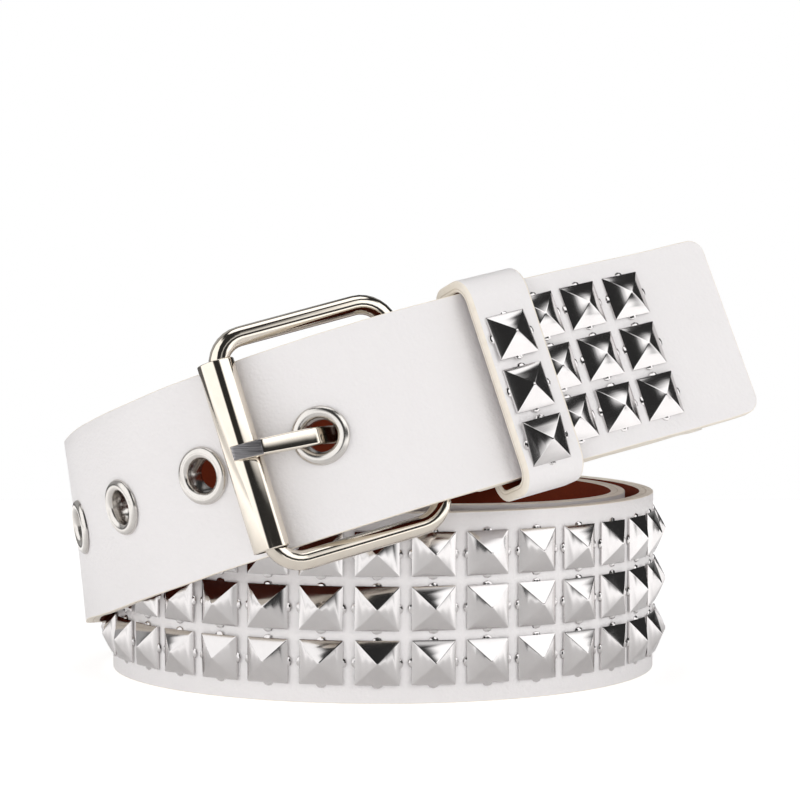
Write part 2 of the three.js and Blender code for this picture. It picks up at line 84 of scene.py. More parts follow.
# %% [markdown]
# ## The route of the strap
# A real belt is cut flat and then wound. The same is done here: the strap, with
# its studs and eyelets, is made flat, and every point is then carried to the
# winding. Bending a curve modifier could do it, but the strap also leans, and
# the buckle end must lie exactly against the tip end, so the route is a table.
# One row is one place on the winding, seen from above and running clockwise.

# %% Sizes and the winding table, in millimetres
strap_width, strap_thickness = 38.0, 3.0
stud_height, stud_clearance, lay_gap = 2.8, 0.35, 0.35
coil_radius, lying_gap = 58.85, 13
layer = strap_thickness + stud_height + stud_clearance
rise = strap_width + lying_gap
tip_turn = 24.7

# turn in degrees, radius over coil_radius, layers outward, height over rise, lean in degrees
WINDING = [
    (22.5, 1.2804, 1, 1.1157, 16.5), (28, 1.175, 1, 1.0706, 17.9),
    (34.8, 1.0969, 1, 1.0314, 18.5), (42.6, 1.0476, 1, 0.998, 18.7),
    (50.9, 1.0255, 1, 0.9647, 18.4), (59.4, 1.0238, 1, 0.9294, 17.6),
    (67.8, 1.0391, 1, 0.8922, 16.2), (75.9, 1.0629, 1, 0.849, 14.2),
    (83.8, 1.0884, 1, 0.802, 11.7), (91.5, 1.1104, 1, 0.7471, 8.7),
    (99.1, 1.1257, 1, 0.6882, 5.1), (106.6, 1.1291, 1, 0.6255, 1.5),
    (114, 1.124, 1, 0.5627, -2.1), (121.6, 1.1122, 1, 0.502, -5.3),
    (129.2, 1.0952, 1, 0.4412, -7.7), (137, 1.0765, 1, 0.3863, -9.5),
    (145, 1.0578, 1, 0.3353, -10), (153.1, 1.045, 1, 0.2863, -9.5),
    (161.4, 1.0333, 1, 0.2471, -8.3), (169.9, 1.029, 1, 0.2157, -7.2),
    (178.4, 1.026, 1, 0.1745, -6), (190, 1.014, 1, 0.1431, -4.5),
    (205, 1, 1.03, 0.1098, -3), (225, 1, 0.86, 0.0745, -1.5),
    (250, 1, 0.615, 0.0353, -0.5), (280, 1, 0.445, 0.0078, 0),
    (310, 1, 0.28, 0, 0), (360, 1, 0, 0, 0), (450, 1, 0, 0, 0),
    (540, 1, 0, 0, 0), (585, 1, -0.25, 0, 0), (675, 1, -0.75, 0, 0),
    (720, 1, -1, 0, 0), (765, 1, -1, 0.008, 0), (810, 1, -1, 0.024, 0),
    (855, 1, -1, 0.04, -0.5), (900, 1, -1.04, 0.064, -2),
    (930, 1, -1.25, 0.175, -4), (960, 1, -1.45, 0.353, -5),
    (990, 1, -1.62, 0.545, -4), (1010, 1, -1.72, 0.68, -1),
    (1030, 1, -1.6, 0.79, 4), (1050, 0.975, -0.8, 0.88, 10),
    (1080, 1.03, 0, 0.98, 15), (1105, 1.12, 0, 1.012, 17.5),
]
LAID_TURNS = [42.6, 46.8, 50.9, 55.2, 59.4, 67.8, 75.9]
coil_middle = np.array([-4.02166, 6.65694, 0.0])
print("rows in the winding:", len(WINDING))

# %% [markdown]
# The rows are joined with a smooth curve that never runs past them. At each
# place a small frame of three directions is kept: along the strap, across it
# and out of its face. The buckle end gets its rows from the tip end, one strap
# thickness farther in.

# %% Curves through the table
def smooth(x, y):
    """A curve through rows that doesn't overshoot them."""
    x, y = np.array(x, float), np.array(y, float)
    h = np.diff(x)
    d = np.diff(y) / h
    m = np.zeros(len(x))
    m[0], m[-1] = d[0], d[-1]
    for i in range(1, len(x) - 1):
        if d[i - 1] * d[i] > 0:
            a = 2 * h[i] + h[i - 1]
            b = h[i] + 2 * h[i - 1]
            m[i] = (a + b) / (a / d[i - 1] + b / d[i])

    def value(t):
        i = int(np.clip(np.searchsorted(x, t, side="left") - 1, 0, len(x) - 2))
        u = (t - x[i]) / h[i]
        if u > 1:
            return y[-1] + m[-1] * (t - x[-1])
        return ((2 * u**3 - 3 * u**2 + 1) * y[i] + (u**3 - 2 * u**2 + u) * h[i] * m[i]
                + (3 * u**2 - 2 * u**3) * y[i + 1] + (u**3 - u**2) * h[i] * m[i + 1])
    return value


def unit(v):
    return v / np.linalg.norm(v)


def frames_along(rows):
    """rows are (turn, radius, height, lean). Gives turn -> place, along, across, out."""
    t, r, z, lean = zip(*rows)
    radius, height, tilt = smooth(t, r), smooth(t, z), smooth(t, lean)

    def place(turn):
        a = math.radians(turn)
        return np.array([radius(turn) * math.cos(a), -radius(turn) * math.sin(a), height(turn)])

    def at(turn):
        along = unit(place(turn + 0.3) - place(turn - 0.3))
        level = unit(np.cross([0, 0, 1], along))
        upright = unit(np.cross(along, level))
        e = math.radians(tilt(turn))
        out = level * math.cos(e) + upright * math.sin(e)
        return place(turn), along, unit(np.cross(along, out)), out
    return at


def length_map(at, start, end):
    turns = np.linspace(start, end, int(round((end - start) / 0.5)) + 1)
    spots = np.array([at(t)[0] for t in turns])
    return turns, np.concatenate([[0], np.cumsum(np.linalg.norm(np.diff(spots, axis=0), axis=1))])


tip_to_eyelet, eyelet_pitch, heel_before_eyelet = 96.0, 26.4, 20.6
rows = [(t, coil_radius * r + layer * n, strap_width / 2 + rise * h, lean) for t, r, n, h, lean in WINDING]
tip_at = frames_along(rows)
tip_turns, tip_lengths = length_map(tip_at, tip_turn, 200)
heel_turn = float(np.interp(tip_to_eyelet - heel_before_eyelet, tip_lengths, tip_turns))
tip_lean = smooth([w[0] for w in WINDING], [w[4] for w in WINDING])
whole_turns = 3 * 360
for t in LAID_TURNS + [heel_turn]:
    p, _, _, out = tip_at(t)
    q = p - out * (strap_thickness + lay_gap)
    turn = whole_turns - math.degrees(math.atan2(q[1], q[0]))
    rows.append((turn, math.hypot(q[0], q[1]), q[2], tip_lean(t)))
turn_at = frames_along(rows)
path_turns, path_lengths = length_map(turn_at, tip_turn, rows[-1][0])
heel_distance = float(path_lengths[-1])
print("strap from tip to heel bar:", round(heel_distance, 1), "mm")


def at(distance):
    return turn_at(float(np.interp(distance, path_lengths, path_turns)))


# %% [markdown]
# ## Where the buckle sits
# The roller lies on the strap's face a little past the first eyelet, and the
# heel bar lies behind the tip end. The line between them gives the buckle's
# own directions: toward the heel bar, across the strap and off its face.

# %% Buckle directions
wire, roller_diameter, roller_length, roller_bore = 3.9, 7.3, 37.9, 6.3
bar_in_roller, bar_spacing, frame_inside = 0.3, 35.5, 41.3
roller_past_eyelet, heel_gap, buckle_shift = 14.3, 0.45, 0.75
heel_reach = strap_thickness + heel_gap + wire / 2
heel_x = bar_in_roller + bar_spacing
p, _, _, out = at(tip_to_eyelet + roller_past_eyelet)
tip_p, _, across, tip_out = tip_at(heel_turn)
roller_centre = p + out * (roller_diameter / 2 + lay_gap) + across * buckle_shift
heel_aim = tip_p - tip_out * (strap_thickness + lay_gap + heel_reach)
to_heel = heel_aim - roller_centre
to_heel = unit(to_heel - across * to_heel.dot(across))
face = unit(np.cross(to_heel, across))
heel_bar = roller_centre + to_heel * heel_x - across * buckle_shift
buckle_place = Matrix([
    [to_heel[i], across[i], face[i], (roller_centre[i] + coil_middle[i]) * MM] for i in range(3)
] + [[0, 0, 0, 1]])
print("roller at", [round(v, 2) for v in roller_centre + coil_middle], "mm")

# %% [markdown]
# The route goes on past the path: round the heel bar and back in a short fold.
# All of it becomes one list of frames, a millimetre or less apart, so any flat
# point can be carried over with simple interpolation.

# %% Route of the whole strap as arrays
stations = [(d, *at(d)) for d in np.arange(0, heel_distance, 1.0)]
stations += [(heel_distance, *at(heel_distance))]
wrap_start = heel_distance + 0.5
wrap_length, wrap_steps = heel_reach * math.pi, 18
for i in range(1, wrap_steps + 1):
    a = math.pi * i / wrap_steps
    out = face * math.cos(a) - to_heel * math.sin(a)
    along = -to_heel * math.cos(a) - face * math.sin(a)
    spot = heel_bar + out * heel_reach
    stations.append((wrap_start + wrap_length * i / wrap_steps, spot, along, across, out))
fold_length, fold_steps, fold_mouth = 10.0, 5, wire + 0.9
for i in range(1, fold_steps + 1):
    x = fold_length * i / fold_steps
    p, along, up, out = at(heel_distance - x)
    k = 1 - i / fold_steps
    opening = lay_gap + (fold_mouth - lay_gap) * k * k * (3 - 2 * k)
    spot = p - out * (2 * strap_thickness + opening)
    stations.append((wrap_start + wrap_length + x, spot, -along, up, -out))
route_d = np.array([s[0] for s in stations])
route_p = np.array([s[1] for s in stations]) + coil_middle
route_up = np.array([s[3] for s in stations])
route_out = np.array([s[4] for s in stations])
strap_length = float(route_d[-1])
print("whole strap:", round(strap_length, 1), "mm")


def wound(points):
    """Carries flat points (along, across, off the face, in mm) to the winding."""
    points = np.asarray(points, float)
    d = points[:, 0]
    spot, up, out = (np.stack([np.interp(d, route_d, rows[:, k]) for k in range(3)], axis=1)
                     for rows in (route_p, route_up, route_out))
    up /= np.linalg.norm(up, axis=1, keepdims=True)
    out /= np.linalg.norm(out, axis=1, keepdims=True)
    return spot + up * points[:, 1:2] + out * points[:, 2:3]


def seat(distance, lift=0.0, across_by=0.0):
    """A place on the strap: x along it toward the buckle end, y across, z off its face."""
    p, _, up, out = at(distance)
    x = unit(np.cross(up, out))
    q = (p + coil_middle + out * lift + up * across_by) * MM
    return Matrix([[x[i], up[i], out[i], q[i]] for i in range(3)] + [[0, 0, 0, 1]])


# %% [markdown]
# ## Shader writing
# A node tree is long to write socket by socket. A small class wraps one output
# socket, so that sums and products of values are written as plain Python.

# %% Shader helpers
class Signal:
    """One output socket that takes part in Python sums."""

    def __init__(self, tree, socket):
        self.tree, self.socket = tree, socket

    def math(self, operation, other=None, flipped=False):
        node = self.tree.nodes.new("ShaderNodeMath")
        node.operation = operation
        values = [other, self] if flipped else [self, other]
        for socket, value in zip(node.inputs, values):
            plug(self.tree, socket, value)
        return Signal(self.tree, node.outputs[0])

    def __add__(self, other):
        return self.math("ADD", other)

    def __radd__(self, other):
        return self.math("ADD", other, flipped=True)

    def __sub__(self, other):
        return self.math("SUBTRACT", other)

    def __rsub__(self, other):
        return self.math("SUBTRACT", other, flipped=True)

    def __mul__(self, other):
        return self.math("MULTIPLY", other)

    def __rmul__(self, other):
        return self.math("MULTIPLY", other, flipped=True)

    def abs(self):
        return self.math("ABSOLUTE")


def plug(tree, socket, value):
    if value is None:
        return
    if isinstance(value, Signal):
        tree.links.new(value.socket, socket)
    else:
        socket.default_value = value


class Finish:
    """A material with one Principled shader, or the world's tree."""

    def __init__(self, name, tree=None):
        if tree is None:
            self.material = bpy.data.materials.new(name)
            self.material.use_nodes = True
            tree = self.material.node_tree
            self.shader = tree.nodes["Principled BSDF"]
        self.tree = tree

    def node(self, kind, settings=None, out=0, **values):
        node = self.tree.nodes.new(kind)
        for key, value in (settings or {}).items():
            setattr(node, key, value)
        for key, value in values.items():
            plug(self.tree, node.inputs[key.replace("_", " ")], value)
        return Signal(self.tree, node.outputs[out])

    def ramp(self, value, start, end, start_level=0.0, end_level=1.0):
        """Goes smoothly from one level at start to the other at end."""
        return self.node("ShaderNodeMapRange", {"interpolation_type": "SMOOTHSTEP"}, Value=value,
                         From_Min=start, From_Max=end, To_Min=start_level, To_Max=end_level)

    def mix(self, amount, a, b):
        """Colour a where amount is 0 and b where it is 1."""
        node = self.tree.nodes.new("ShaderNodeMix")
        node.data_type = "RGBA"
        for index, value in ((0, amount), (6, a), (7, b)):
            plug(self.tree, node.inputs[index], value)
        return Signal(self.tree, node.outputs[2])

    def set(self, **values):
        for key, value in values.items():
            plug(self.tree, self.shader.inputs[key.replace("_", " ")], value)

    def flat_place(self):
        """The point's place on the flat strap, in mm, kept before winding."""
        return self.node("ShaderNodeAttribute", {"attribute_name": "flat"}, out=1)


def colour(r, g, b):
    """A colour read on a screen, 0 to 255, as the linear value a shader takes."""
    linear = [v / 255 / 12.92 if v <= 10 else ((v / 255 + 0.055) / 1.055) ** 2.4 for v in (r, g, b)]
    return (*linear, 1.0)


# %% [markdown]
# ## Leather
# The face is a white coated leather: nearly smooth, with a fine pebbled grain
# that shows only where light rakes over it. The cut edges are painted cream,
# with a hair line where the two layers meet. The inside is a saddle brown
# lining with a dull nap. Each reads the flat place, so the grain follows the
# strap round the coil instead of cutting through it.

# %% Leather finishes
def make_white_leather():
    finish = Finish("white_leather")
    flat = finish.flat_place()
    cells = {"feature": "SMOOTH_F1"}
    pebble = finish.node("ShaderNodeTexVoronoi", cells, Vector=flat, Scale=1.5, Smoothness=0.6)
    fine = finish.node("ShaderNodeTexNoise", Vector=flat, Scale=3.2, Detail=3.0, Roughness=0.55)
    broad = finish.node("ShaderNodeTexNoise", Vector=flat, Scale=0.05, Detail=2.0)
    height = pebble * 0.7 + fine * 0.45
    tone = finish.mix(broad * 0.55 + fine * 0.3, colour(222, 219, 219), colour(229, 226, 226))
    bump = finish.node("ShaderNodeBump", Strength=0.8, Distance=0.00012, Height=height)
    finish.set(Base_Color=tone, Roughness=0.4 + pebble * 0.12, Normal=bump, Specular_IOR_Level=0.4)
    return finish.material


def make_cream_edge():
    finish = Finish("cream_edge")
    flat = finish.flat_place()
    depth = finish.node("ShaderNodeSeparateXYZ", out=2, Vector=flat)
    seam_depth = 1.55
    seam = finish.ramp((depth + seam_depth).abs(), 0.05, 0.2, 1.0, 0.0)
    streak = finish.node("ShaderNodeTexNoise", Vector=flat, Scale=0.35, Detail=4.0, Roughness=0.6)
    tone = finish.mix(streak, colour(219, 209, 193), colour(238, 231, 220))
    tone = finish.mix(seam * 0.45, tone, colour(176, 160, 140))
    bump = finish.node("ShaderNodeBump", Strength=0.4, Distance=0.0002, Height=streak * 0.5 - seam * 0.6)
    finish.set(Base_Color=tone, Roughness=0.52, Normal=bump)
    return finish.material


def make_brown_lining():
    finish = Finish("brown_lining")
    flat = finish.flat_place()
    nap = finish.node("ShaderNodeTexNoise", Vector=flat, Scale=1.6, Detail=5.0, Roughness=0.65)
    broad = finish.node("ShaderNodeTexNoise", Vector=flat, Scale=0.08, Detail=2.0)
    tone = finish.mix(nap * 0.6 + broad * 0.4, colour(74, 20, 3), colour(120, 43, 10))
    bump = finish.node("ShaderNodeBump", Strength=0.5, Distance=0.00015, Height=nap)
    finish.set(Base_Color=tone, Roughness=0.78, Specular_IOR_Level=0.2, Normal=bump)
    return finish.material


white_leather, cream_edge, brown_lining = make_white_leather(), make_cream_edge(), make_brown_lining()
print("leather finishes:", white_leather.name, cream_edge.name, brown_lining.name)

# %% [markdown]
# ## Metal
# The studs are thin bright-chromed sheet, the buckle is a warmer polished
# nickel and the eyelets are satin nickel. A perfect mirror looks drawn, so a
# faint haze changes the tone and the roughness, and a slight ripple bends the
# reflections in the nickel. The studs' flat facets are left without a ripple,
# because it would break their clean reflections into streaks.

# %% Metal finishes
def make_metal(name, tint_low, tint_high, roughness, ripple=None):
    finish = Finish(name)
    spot = finish.node("ShaderNodeTexCoord", out=3)
    haze = finish.node("ShaderNodeTexNoise", Vector=spot, Scale=380.0, Detail=3.0, Roughness=0.6)
    tone = finish.mix(haze, tint_low, tint_high)
    finish.set(Base_Color=tone, Metallic=1.0, Roughness=roughness + haze * 0.05)
    if ripple:
        wave = finish.node("ShaderNodeTexNoise", Vector=spot, Scale=260.0, Detail=1.0)
        finish.set(Normal=finish.node("ShaderNodeBump", Strength=ripple, Distance=0.0004, Height=wave))
    return finish.material


def make_ribbed_tip():
    """The prong's tip: the same nickel, scored along its length, with painted shade that makes it near
    black and darkest in the grooves.
    """
    finish = Finish("ribbed_nickel_painted_shade")
    spot = finish.node("ShaderNodeTexCoord", out=3)
    lengthwise = finish.node("ShaderNodeMapping", Vector=spot, Rotation=(0.0, 0.24, 0.32),
                        Scale=(160.0, 1500.0, 3200.0))
    scoring_and_groove_shade = finish.node("ShaderNodeTexNoise", Vector=lengthwise, Scale=1.0, Detail=2.0)
    # painted shade: the colour is darkest where the scoring is low and near black overall, though the metal
    # is the same nickel
    tone = finish.mix(scoring_and_groove_shade, colour(60, 60, 66), colour(190, 188, 190))
    bump = finish.node("ShaderNodeBump", Strength=0.6, Distance=0.0003, Height=scoring_and_groove_shade)
    finish.set(Base_Color=tone, Metallic=1.0, Roughness=0.32, Normal=bump)
    return finish.material


chrome = make_metal("bright_chrome", colour(206, 203, 203), colour(218, 215, 214), 0.1)
nickel = make_metal("warm_nickel", colour(222, 213, 200), colour(236, 228, 216), 0.06, 0.012)
satin = make_metal("satin_nickel", colour(205, 201, 197), colour(222, 218, 213), 0.19, 0.012)
ribbed = make_ribbed_tip()
print("metal finishes:", chrome.name, nickel.name, satin.name, ribbed.name)

# %% [markdown]
# ## Working helpers
# Every piece starts with nothing selected, because the loaded model comes in
# selected and an operator acts on all of it. A finished piece keeps its place
# in its mesh, so its object can stay at the origin.

# %% Modelling helpers
def clear_selection():
    if bpy.context.mode != "OBJECT":
        bpy.ops.object.mode_set(mode="OBJECT")
    bpy.ops.object.select_all(action="DESELECT")


def take(obj):
    clear_selection()
    obj.select_set(True)
    bpy.context.view_layer.objects.active = obj


def apply_modifiers(obj):
    take(obj)
    for modifier in list(obj.modifiers):
        bpy.ops.object.modifier_apply(modifier=modifier.name)


def pick(obj, kind, test):
    """Selects the faces, edges or vertices of the mesh in edit mode that pass a test."""
    bm = bmesh.from_edit_mesh(obj.data)
    for group in (bm.faces, bm.edges, bm.verts):
        for item in group:
            item.select = False
    for item in getattr(bm, kind):
        if test(item):
            item.select = True
    bm.select_flush_mode()
    bmesh.update_edit_mesh(obj.data)


def read_points(mesh):
    points = np.empty(len(mesh.vertices) * 3, np.float32)
    mesh.vertices.foreach_get("co", points)
    return points.reshape(-1, 3).astype(float)


def write_points(mesh, points):
    mesh.vertices.foreach_set("co", np.asarray(points, np.float32).ravel())
    mesh.update()


def keep_flat_place(mesh, points):
    """Stores the flat place in mm on each vertex for the leather finishes."""
    record = mesh.attributes.new("flat", "FLOAT_VECTOR", "POINT")
    record.data.foreach_set("vector", np.asarray(points, np.float32).ravel())


def outward(obj):
    take(obj)
    bpy.ops.object.mode_set(mode="EDIT")
    bpy.ops.mesh.select_all(action="SELECT")
    bpy.ops.mesh.remove_doubles(threshold=1e-6)
    bpy.ops.mesh.normals_make_consistent(inside=False)
    bpy.ops.object.mode_set(mode="OBJECT")


def smooth_by_angle(obj, degrees):
    take(obj)
    bpy.ops.object.shade_smooth_by_angle(angle=math.radians(degrees))


def thicken(obj, thickness, rounding):
    """Gives flat leather its thickness, its lining, its painted rim and its soft edges."""
    for finish in (white_leather, brown_lining, cream_edge):
        obj.data.materials.append(finish)
    thick = obj.modifiers.new("thickness", "SOLIDIFY")
    thick.thickness = thickness * MM
    thick.offset = -1
    thick.material_offset = 1
    thick.material_offset_rim = 2
    soft = obj.modifiers.new("soft_edges", "BEVEL")
    soft.width = rounding * MM
    soft.segments = 3
    soft.limit_method = "ANGLE"
    soft.angle_limit = math.radians(50)
    soft.material = 2
    apply_modifiers(obj)


def arc(cx, cz, r, start, end, count, squash=1.0):
    """Points on an arc of an outline, angles in degrees."""
    angles = [math.radians(start + (end - start) * i / count) for i in range(count + 1)]
    return [(cx + r * math.cos(a), cz + r * squash * math.sin(a)) for a in angles]


# %% [markdown]
# ## Strap
# The strap could be swept along its route in one go, but then its holes would
# have to be cut in bent leather. It is made flat: a fine grid, its tip corners
# rounded and its buckle end narrowed, then given its thickness, its soft edges
# and its holes, and only then wound.

# %% Flat strap
heel_width, heel_taper, tip_corner = 33.6, 5.0, 3.2


def half_width(d):
    """Half the strap's width at a distance from the tip."""
    near = min(d, tip_corner)
    corner = tip_corner - math.sqrt(max(0.0, tip_corner**2 - (tip_corner - near) ** 2))
    taper = min(1.0, max(0.0, (heel_distance - d - heel_taper / 2) / heel_taper))
    return strap_width / 2 - corner - (strap_width - heel_width) / 2 * (1 - taper * taper * (3 - 2 * taper))


clear_selection()
bpy.ops.mesh.primitive_grid_add(x_subdivisions=480, y_subdivisions=12, size=1, location=(0, 0, 0))
strap = bpy.context.object
strap.name = "strap_leather"
bpy.ops.object.mode_set(mode="EDIT")
bpy.ops.mesh.select_all(action="SELECT")
bpy.ops.transform.resize(value=(strap_length * MM, strap_width * MM, 1))
bpy.ops.transform.translate(value=(strap_length * MM / 2, 0, 0))
# more rows near the tip let its corners be round
for x in (0.15, 0.5, 1.0, 1.7):
    bpy.ops.mesh.select_all(action="SELECT")
    bpy.ops.mesh.bisect(plane_co=(x * MM, 0, 0), plane_no=(1, 0, 0))
bpy.ops.object.mode_set(mode="OBJECT")
points = read_points(strap.data) / MM
points[:, 1] *= [half_width(d) / (strap_width / 2) for d in points[:, 0]]
write_points(strap.data, points * MM)
thicken(strap, strap_thickness, 0.55)
print("flat strap faces:", len(strap.data.polygons))

# %% Eyelet holes and the prong's slot
hole_radius, slot_length, slot_width, slot_aside, cutter_depth = 3.95, 22, 4.6, 1.9, 8
middle = -strap_thickness / 2 * MM
clear_selection()
hole_places = [tip_to_eyelet + i * eyelet_pitch for i in range(4)]
cutters = []
for x in hole_places:
    bpy.ops.mesh.primitive_cylinder_add(vertices=32, radius=hole_radius * MM, depth=cutter_depth * MM,
                                        location=(x * MM, 0, middle))
    cutters.append(bpy.context.object)
clear_selection()
slot_middle = ((heel_distance + wrap_length / 2) * MM, -slot_aside * MM, middle)
slot_size = (slot_length * MM, slot_width * MM, cutter_depth * MM)
bpy.ops.mesh.primitive_cube_add(size=1, location=slot_middle, scale=slot_size)
cutters.append(bpy.context.object)
for cutter in cutters:
    hole = strap.modifiers.new("hole", "BOOLEAN")
    hole.object = cutter
    hole.solver = "EXACT"
apply_modifiers(strap)
for cutter in cutters:
    bpy.data.objects.remove(cutter)
outward(strap)
flat_points = read_points(strap.data) / MM
keep_flat_place(strap.data, flat_points)
write_points(strap.data, wound(flat_points) * MM)
smooth_by_angle(strap, 40)
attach(strap, "belt")
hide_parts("strap")
print("wound strap faces:", len(strap.data.polygons))

# %% [markdown]
# ## Pyramid stud
# A real stud is a square of thin sheet pressed into a pyramid, with a narrow
# step round its foot and a half round ear in the middle of each side, where a
# claw bends down into the leather. It is made once, by extruding and narrowing
# a square ring by ring, and then copied to every place.

# %% One stud
stud_side, stud_wall, stud_foot = 8.88, 0.45, 0.1
ear_radius, ear_sunk, ridge_round = 1.1, 0.05, 0.12
# half width of each ring of the pyramid and the slope of the facet above it, in mm and degrees
FLAT_RINGS = [(4.30, 31.5), (2.9, 29.0), (1.5, 27.0)]
DOMED_RINGS = [(4.30, 36.0), (3.9, 33.5), (3.4, 30.5), (2.9, 28.0),
               (2.4, 25.5), (1.9, 23.0), (1.3, 20.5), (0.8, 18.5)]
stud_cap = 0.2


def make_ear():
    """A quarter of a flattened ball: the claw's shoulder, sticking out of one side."""
    clear_selection()
    bpy.ops.mesh.primitive_uv_sphere_add(segments=8, ring_count=6, radius=ear_radius * MM)
    ear = bpy.context.object
    bpy.ops.object.mode_set(mode="EDIT")
    bpy.ops.mesh.select_all(action="SELECT")
    bpy.ops.transform.resize(value=(1, 0.72, 0.36))
    bpy.ops.mesh.bisect(plane_co=(0, 0, 0), plane_no=(0, 1, 0), clear_inner=True, use_fill=True)
    bpy.ops.mesh.select_all(action="SELECT")
    bpy.ops.mesh.bisect(plane_co=(0, 0, 0), plane_no=(0, 0, 1), clear_inner=True, use_fill=True)
    bpy.ops.object.mode_set(mode="OBJECT")
    return ear


def on_ridge(edge):
    """True for a rising edge above the stud's wall that lies on a diagonal of the square."""
    a, b = edge.verts
    diagonal = all(abs(abs(v.co.x) - abs(v.co.y)) < 1e-6 for v in (a, b))
    above_wall = min(a.co.z, b.co.z) > (stud_wall - 0.02) * MM
    return diagonal and above_wall and abs(a.co.z - b.co.z) > 0.05 * MM


def make_stud(name, rings):
    clear_selection()
    bpy.ops.mesh.primitive_plane_add(size=stud_side * MM)
    stud = bpy.context.object
    bpy.ops.object.mode_set(mode="EDIT")
    bpy.ops.mesh.select_all(action="SELECT")
    bpy.ops.mesh.extrude_region_move(TRANSFORM_OT_translate={"value": (0, 0, (stud_wall - stud_foot) * MM)})
    widths = [ring[0] for ring in rings] + [stud_cap]
    bpy.ops.mesh.extrude_region_move(TRANSFORM_OT_translate={"value": (0, 0, stud_foot * MM)})
    size = 2 * widths[0] / stud_side
    bpy.ops.transform.resize(value=(size, size, 1), center_override=(0, 0, 0))
    for (width, slope), above in zip(rings, widths[1:]):
        lift = (width - above) * math.tan(math.radians(slope))
        bpy.ops.mesh.extrude_region_move(TRANSFORM_OT_translate={"value": (0, 0, lift * MM)})
        bpy.ops.transform.resize(value=(above / width, above / width, 1), center_override=(0, 0, 0))
    # the four ridges are rounded a little
    pick(stud, "edges", on_ridge)
    bpy.ops.mesh.bevel(offset=ridge_round * MM, offset_type="OFFSET", segments=2, affect="EDGES")
    bpy.ops.object.mode_set(mode="OBJECT")
    ears = []
    for k in range(4):
        ear = make_ear()
        to_side = Matrix.Translation((0, (stud_side / 2 - ear_sunk) * MM, 0))
        ear.data.transform(Matrix.Rotation(k * math.pi / 2, 4, "Z") @ to_side)
        ears.append(ear)
    clear_selection()
    for piece in ears + [stud]:
        piece.select_set(True)
    bpy.context.view_layer.objects.active = stud
    bpy.ops.object.join()
    bpy.ops.object.mode_set(mode="EDIT")
    bpy.ops.mesh.select_all(action="SELECT")
    bpy.ops.mesh.normals_make_consistent(inside=False)
    bpy.ops.object.mode_set(mode="OBJECT")
    stud.name = name
    return stud


flat_stud = make_stud("flat_stud_pattern", FLAT_RINGS)
domed_stud = make_stud("domed_stud_pattern", DOMED_RINGS)
for stud in (flat_stud, domed_stud):
    height = max(v.co.z for v in stud.data.vertices) / MM
    print(stud.name, "has", len(stud.data.polygons), "faces and is", round(height, 2), "mm high")

# %% [markdown]
# Hundreds of studs as separate objects would be slow to move and to export.
# The one stud's faces are read once and written again for each place, as one
# joined mesh. Each stud is pressed in by hand, so each sits a degree or two
# off, which makes neighbouring facets catch different lights.

# %% Fields of studs
def stud_field(name, stud, places, wobble=1.0, seed=7, nods=None, crease=12):
    """One mesh with a copy of the stud at each place. Nods tip single studs up, in degrees.
    Edges below the crease angle shade smoothly, so a small angle keeps the facets flat."""
    rng = np.random.default_rng(seed)
    base = read_points(stud.data)
    base = np.c_[base, np.ones(len(base))]
    faces = [tuple(p.vertices) for p in stud.data.polygons]
    points, polygons = [], []
    for i, place in enumerate(places):
        tilt = rng.normal(0, math.radians(wobble), 2).clip(-0.05, 0.05)
        if nods:
            tilt = np.radians([-nods[i], 0.0])
        tip = Matrix.Rotation(tilt[0], 4, "X") @ Matrix.Rotation(tilt[1], 4, "Y")
        turn = tip @ Matrix.Rotation(rng.normal(0, 0.008), 4, "Z")
        lift = Matrix.Translation((0, 0, abs(tilt).sum() * stud_side / 4 * MM))
        moved = base @ np.array(place @ lift @ turn).T
        start = len(points) * len(base)
        points.append(moved[:, :3])
        polygons += [tuple(start + v for v in face) for face in faces]
    mesh = bpy.data.meshes.new(name)
    mesh.from_pydata(np.vstack(points).tolist(), [], polygons)
    obj = bpy.data.objects.new(name, mesh)
    bpy.context.scene.collection.objects.link(obj)
    mesh.materials.append(chrome)
    smooth_by_angle(obj, crease)
    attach(obj, "belt")
    return obj


column_pitch, row_pitch = 11.18, 10.79
field_start, field_end_margin, tip_margin = 229.8, 82.0, 22.5
columns = int((heel_distance - field_end_margin - field_start) // column_pitch) + 1
row_places = (-row_pitch, 0, row_pitch)
field_places = [seat(field_start + c * column_pitch, 0.0, w) for c in range(columns) for w in row_places]
stud_field("field_studs", flat_stud, field_places)
tip_places = [seat(tip_margin + c * column_pitch, 0.03, w) for c in range(3) for w in row_places]
tip_studs = stud_field("tip_studs", domed_stud, tip_places, seed=3, crease=24)
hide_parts(*[f"tip_stud_{c}_{r}" for c in (1, 2, 3) for r in (1, 2, 3)])
print("field studs:", columns * 3, "in", columns, "columns")

# %% [markdown]
# ## Keeper loop
# The keeper is a narrow strip of the same leather, bent into a flat ring round
# both ends of the strap and closed at the back. It is made flat and wound too,
# round a small rounded oblong.

# %% Keeper
keeper_width, keeper_thickness, keeper_corner = 13.4, 2.3, 1.6
keeper_stand_off, keeper_depth, keeper_drop = 1.95, 9.4, 0.45
keeper_before_eyelet, keeper_stud_along, keeper_stud_down, stud_sunk = 41.3, 0.6, 2.85, 0.03
keeper_at = tip_to_eyelet - keeper_before_eyelet
keeper_seat = seat(keeper_at)


